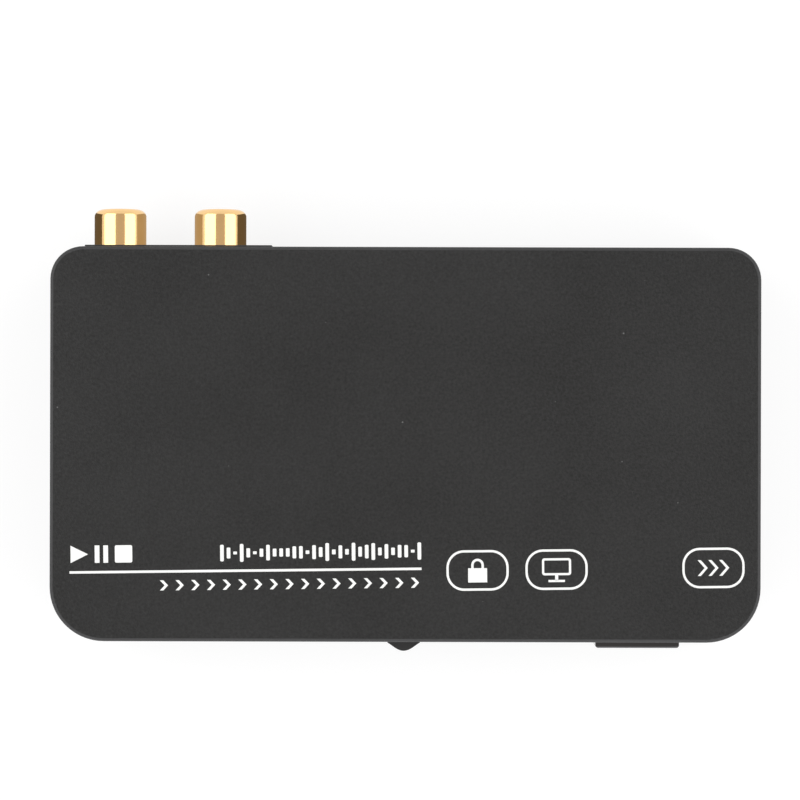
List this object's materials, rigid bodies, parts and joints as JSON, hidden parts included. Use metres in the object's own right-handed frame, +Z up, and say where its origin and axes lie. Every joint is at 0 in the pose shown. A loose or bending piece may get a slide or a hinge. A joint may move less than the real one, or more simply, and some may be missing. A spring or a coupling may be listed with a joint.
{
  "type": "hdmi audio extractor",
  "caption": "Flat dark plastic converter box with gold phono, video and power sockets at the rear, and a headphone socket, slide switch and shuttered optical socket in front.",
  "frame": {"origin": "centre of the case's plan on the surface that its four feet stand on", "axes": "+X along the case's length, to the right as the front is looked at; +Y to the rear wall with the phono and video sockets; +Z up"},
  "size_m": [0.1124, 0.0705, 0.0205],
  "materials": {
    "case_plastic": "dark grey moulded plastic with a fine even grain",
    "black_steel": "black oxide screw",
    "bright_steel": "bright nickel or tin plate",
    "foot_rubber": "black rubber",
    "board_laminate": "green solder mask",
    "black_plastic": "black moulded plastic",
    "gloss_black_plastic": "glossy black plastic",
    "gold_plating": "gold plated metal",
    "white_plastic": "white plastic",
    "red_plastic": "red plastic",
    "brown_plastic": "brown insulating board or ceramic",
    "clear_plastic": "clear light pipe",
    "chip_plastic": "moulded chip package",
    "can_aluminium": "aluminium can"
  },
  "bodies": {
    "case": {"top_shell": "case_plastic", "bottom_shell": "case_plastic", "case_screws": "black_steel", "rubber_feet": "foot_rubber", "circuit_board": "board_laminate", "board_screws": "bright_steel", "rca_housing": "black_plastic", "rca_sleeve_left": "gold_plating", "rca_sleeve_right": "gold_plating", "rca_insulator_left": "white_plastic", "rca_insulator_right": "red_plastic", "rca_contact_left": "gold_plating", "rca_contact_right": "gold_plating", "hdmi_input_shell": "bright_steel", "hdmi_input_tongue": "black_plastic", "hdmi_input_contacts": "gold_plating", "hdmi_output_shell": "bright_steel", "hdmi_output_tongue": "black_plastic", "hdmi_output_contacts": "gold_plating", "power_jack_body": "black_plastic", "power_jack_pin": "bright_steel", "power_jack_leaf": "bright_steel", "headphone_jack_body": "black_plastic", "headphone_jack_tabs": "bright_steel", "light_pipes": "clear_plastic", "indicator_leds": "white_plastic", "mode_switch_base": "brown_plastic", "mode_switch_can": "bright_steel", "optical_socket_body": "gloss_black_plastic", "optical_emitter": "black_plastic", "video_chip": "chip_plastic", "audio_chip": "chip_plastic", "controller_chip": "chip_plastic", "voltage_regulators": "chip_plastic", "inductors": "chip_plastic", "electrolytic_capacitors": "can_aluminium", "crystals": "bright_steel", "chip_capacitors": "brown_plastic", "programming_header": "black_plastic"},
    "mode_knob": {"mode_switch_slider": "white_plastic", "mode_switch_knob": "black_plastic"},
    "shutter": {"optical_shutter": "gloss_black_plastic"}
  },
  "joints": [
    {"name": "mode_slide", "type": "slide", "parent": "case", "child": "mode_knob", "axis": [1, 0, 0], "range_m": [-0.002, 0.002]},
    {"name": "shutter_swing", "type": "hinge", "parent": "case", "child": "shutter", "pos_m": [0.03685, -0.0308, 0.01705], "axis": [1, 0, 0], "range_deg": [0, 80], "stiffness_Nm_per_rad": 0.0001, "springref_deg": -20.05}
  ]
}
